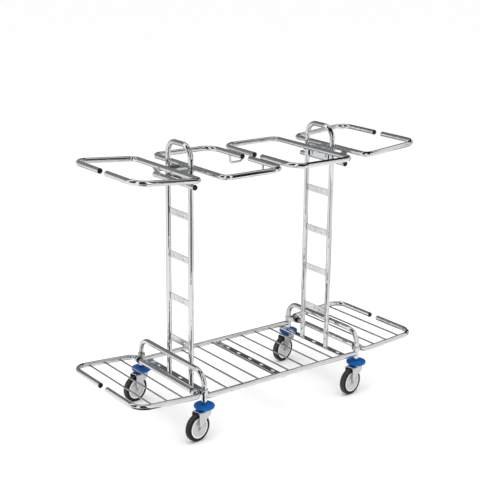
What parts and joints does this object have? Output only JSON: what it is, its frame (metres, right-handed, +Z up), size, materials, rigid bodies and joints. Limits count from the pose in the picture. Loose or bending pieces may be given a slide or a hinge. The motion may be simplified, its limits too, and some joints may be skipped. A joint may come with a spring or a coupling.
{
  "type": "cleaning trolley",
  "caption": "Chromed tube cleaning trolley with ladder uprights, ring bag holders, wire deck, fold-up end frames and swivel castors with blue bumpers.",
  "frame": {"origin": "on the floor under the middle of the trolley", "axes": "+Z up, +X along the trolley to the right, -Y is the front long side"},
  "size_m": [1.27, 0.4838, 1.0095],
  "materials": {
    "chrome": "bright chrome plate",
    "black_plastic": "moulded black plastic",
    "blue_rubber": "smooth blue rubber",
    "zinc": "bright zinc plate",
    "grey_plastic": "moulded light grey plastic",
    "tyre": "black rubber",
    "bolt_steel": "bright zinc plate"
  },
  "bodies": {
    "frame": {"side_rail_front": "chrome", "side_rail_back": "chrome", "deck_wires": "chrome", "crossbar_left": "chrome", "crossbar_centre": "chrome", "crossbar_right": "chrome", "arch_left": "chrome", "arch_right": "chrome", "corner_brackets_left": "chrome", "corner_brackets_right": "chrome", "upright_left": "chrome", "upright_right": "chrome", "rungs_left": "chrome", "rungs_right": "chrome", "hanger_plate_left": "chrome", "hanger_plate_right": "chrome", "hanger_arms_left": "chrome", "hanger_arms_right": "chrome", "middle_holder_left": "chrome", "middle_holder_right": "chrome", "link_rods": "chrome", "middle_plugs_left": "black_plastic", "middle_plugs_right": "black_plastic", "foot_bolts_left": "bolt_steel", "foot_bolts_right": "bolt_steel", "castor_stems": "zinc", "bumpers": "blue_rubber"},
    "holder_left": {"outer_holder_left": "chrome", "holder_stop_left": "chrome", "holder_straps_left": "chrome", "outer_plugs_left": "black_plastic"},
    "end_left": {"end_frame_left": "chrome", "end_wires_left": "chrome", "end_plugs_left": "black_plastic"},
    "holder_right": {"outer_holder_right": "chrome", "holder_stop_right": "chrome", "holder_straps_right": "chrome", "outer_plugs_right": "black_plastic"},
    "end_right": {"end_frame_right": "chrome", "end_wires_right": "chrome", "end_plugs_right": "black_plastic"},
    "castor_front_left": {"castor_fork_front_left": "zinc", "castor_axle_front_left": "bolt_steel"},
    "wheel_front_left": {"castor_wheel_front_left": "grey_plastic", "castor_tyre_front_left": "tyre"},
    "castor_back_left": {"castor_fork_back_left": "zinc", "castor_axle_back_left": "bolt_steel"},
    "wheel_back_left": {"castor_wheel_back_left": "grey_plastic", "castor_tyre_back_left": "tyre"},
    "castor_front_right": {"castor_fork_front_right": "zinc", "castor_axle_front_right": "bolt_steel"},
    "wheel_front_right": {"castor_wheel_front_right": "grey_plastic", "castor_tyre_front_right": "tyre"},
    "castor_back_right": {"castor_fork_back_right": "zinc", "castor_axle_back_right": "bolt_steel"},
    "wheel_back_right": {"castor_wheel_back_right": "grey_plastic", "castor_tyre_back_right": "tyre"}
  },
  "joints": [
    {"name": "left_holder_fold", "type": "hinge", "parent": "frame", "child": "holder_left", "pos_m": [-0.362, 0, 0.916], "axis": [0, 1, 0], "range_deg": [0, 160]},
    {"name": "left_end_fold", "type": "hinge", "parent": "frame", "child": "end_left", "pos_m": [-0.374, 0, 0.168], "axis": [0, 1, 0], "range_deg": [0, 95]},
    {"name": "right_holder_fold", "type": "hinge", "parent": "frame", "child": "holder_right", "pos_m": [0.362, 0, 0.916], "axis": [0, -1, 0], "range_deg": [0, 160]},
    {"name": "right_end_fold", "type": "hinge", "parent": "frame", "child": "end_right", "pos_m": [0.374, 0, 0.168], "axis": [0, -1, 0], "range_deg": [0, 95]},
    {"name": "front_left_swivel", "type": "hinge", "parent": "frame", "child": "castor_front_left", "pos_m": [-0.349, -0.205, 0.107], "axis": [0, 0, 1], "continuous": true},
    {"name": "front_left_roll", "type": "hinge", "parent": "castor_front_left", "child": "wheel_front_left", "pos_m": [-0.38061, -0.21001, 0.05], "axis": [-0.1564, 0.9877, 0], "continuous": true},
    {"name": "back_left_swivel", "type": "hinge", "parent": "frame", "child": "castor_back_left", "pos_m": [-0.349, 0.205, 0.107], "axis": [0, 0, 1], "continuous": true},
    {"name": "back_left_roll", "type": "hinge", "parent": "castor_back_left", "child": "wheel_back_left", "pos_m": [-0.38061, 0.19999, 0.05], "axis": [-0.1564, 0.9877, 0], "continuous": true},
    {"name": "front_right_swivel", "type": "hinge", "parent": "frame", "child": "castor_front_right", "pos_m": [0.349, -0.205, 0.107], "axis": [0, 0, 1], "continuous": true},
    {"name": "front_right_roll", "type": "hinge", "parent": "castor_front_right", "child": "wheel_front_right", "pos_m": [0.31739, -0.21001, 0.05], "axis": [-0.1564, 0.9877, 0], "continuous": true},
    {"name": "back_right_swivel", "type": "hinge", "parent": "frame", "child": "castor_back_right", "pos_m": [0.349, 0.205, 0.107], "axis": [0, 0, 1], "continuous": true},
    {"name": "back_right_roll", "type": "hinge", "parent": "castor_back_right", "child": "wheel_back_right", "pos_m": [0.31739, 0.19999, 0.05], "axis": [-0.1564, 0.9877, 0], "continuous": true}
  ]
}
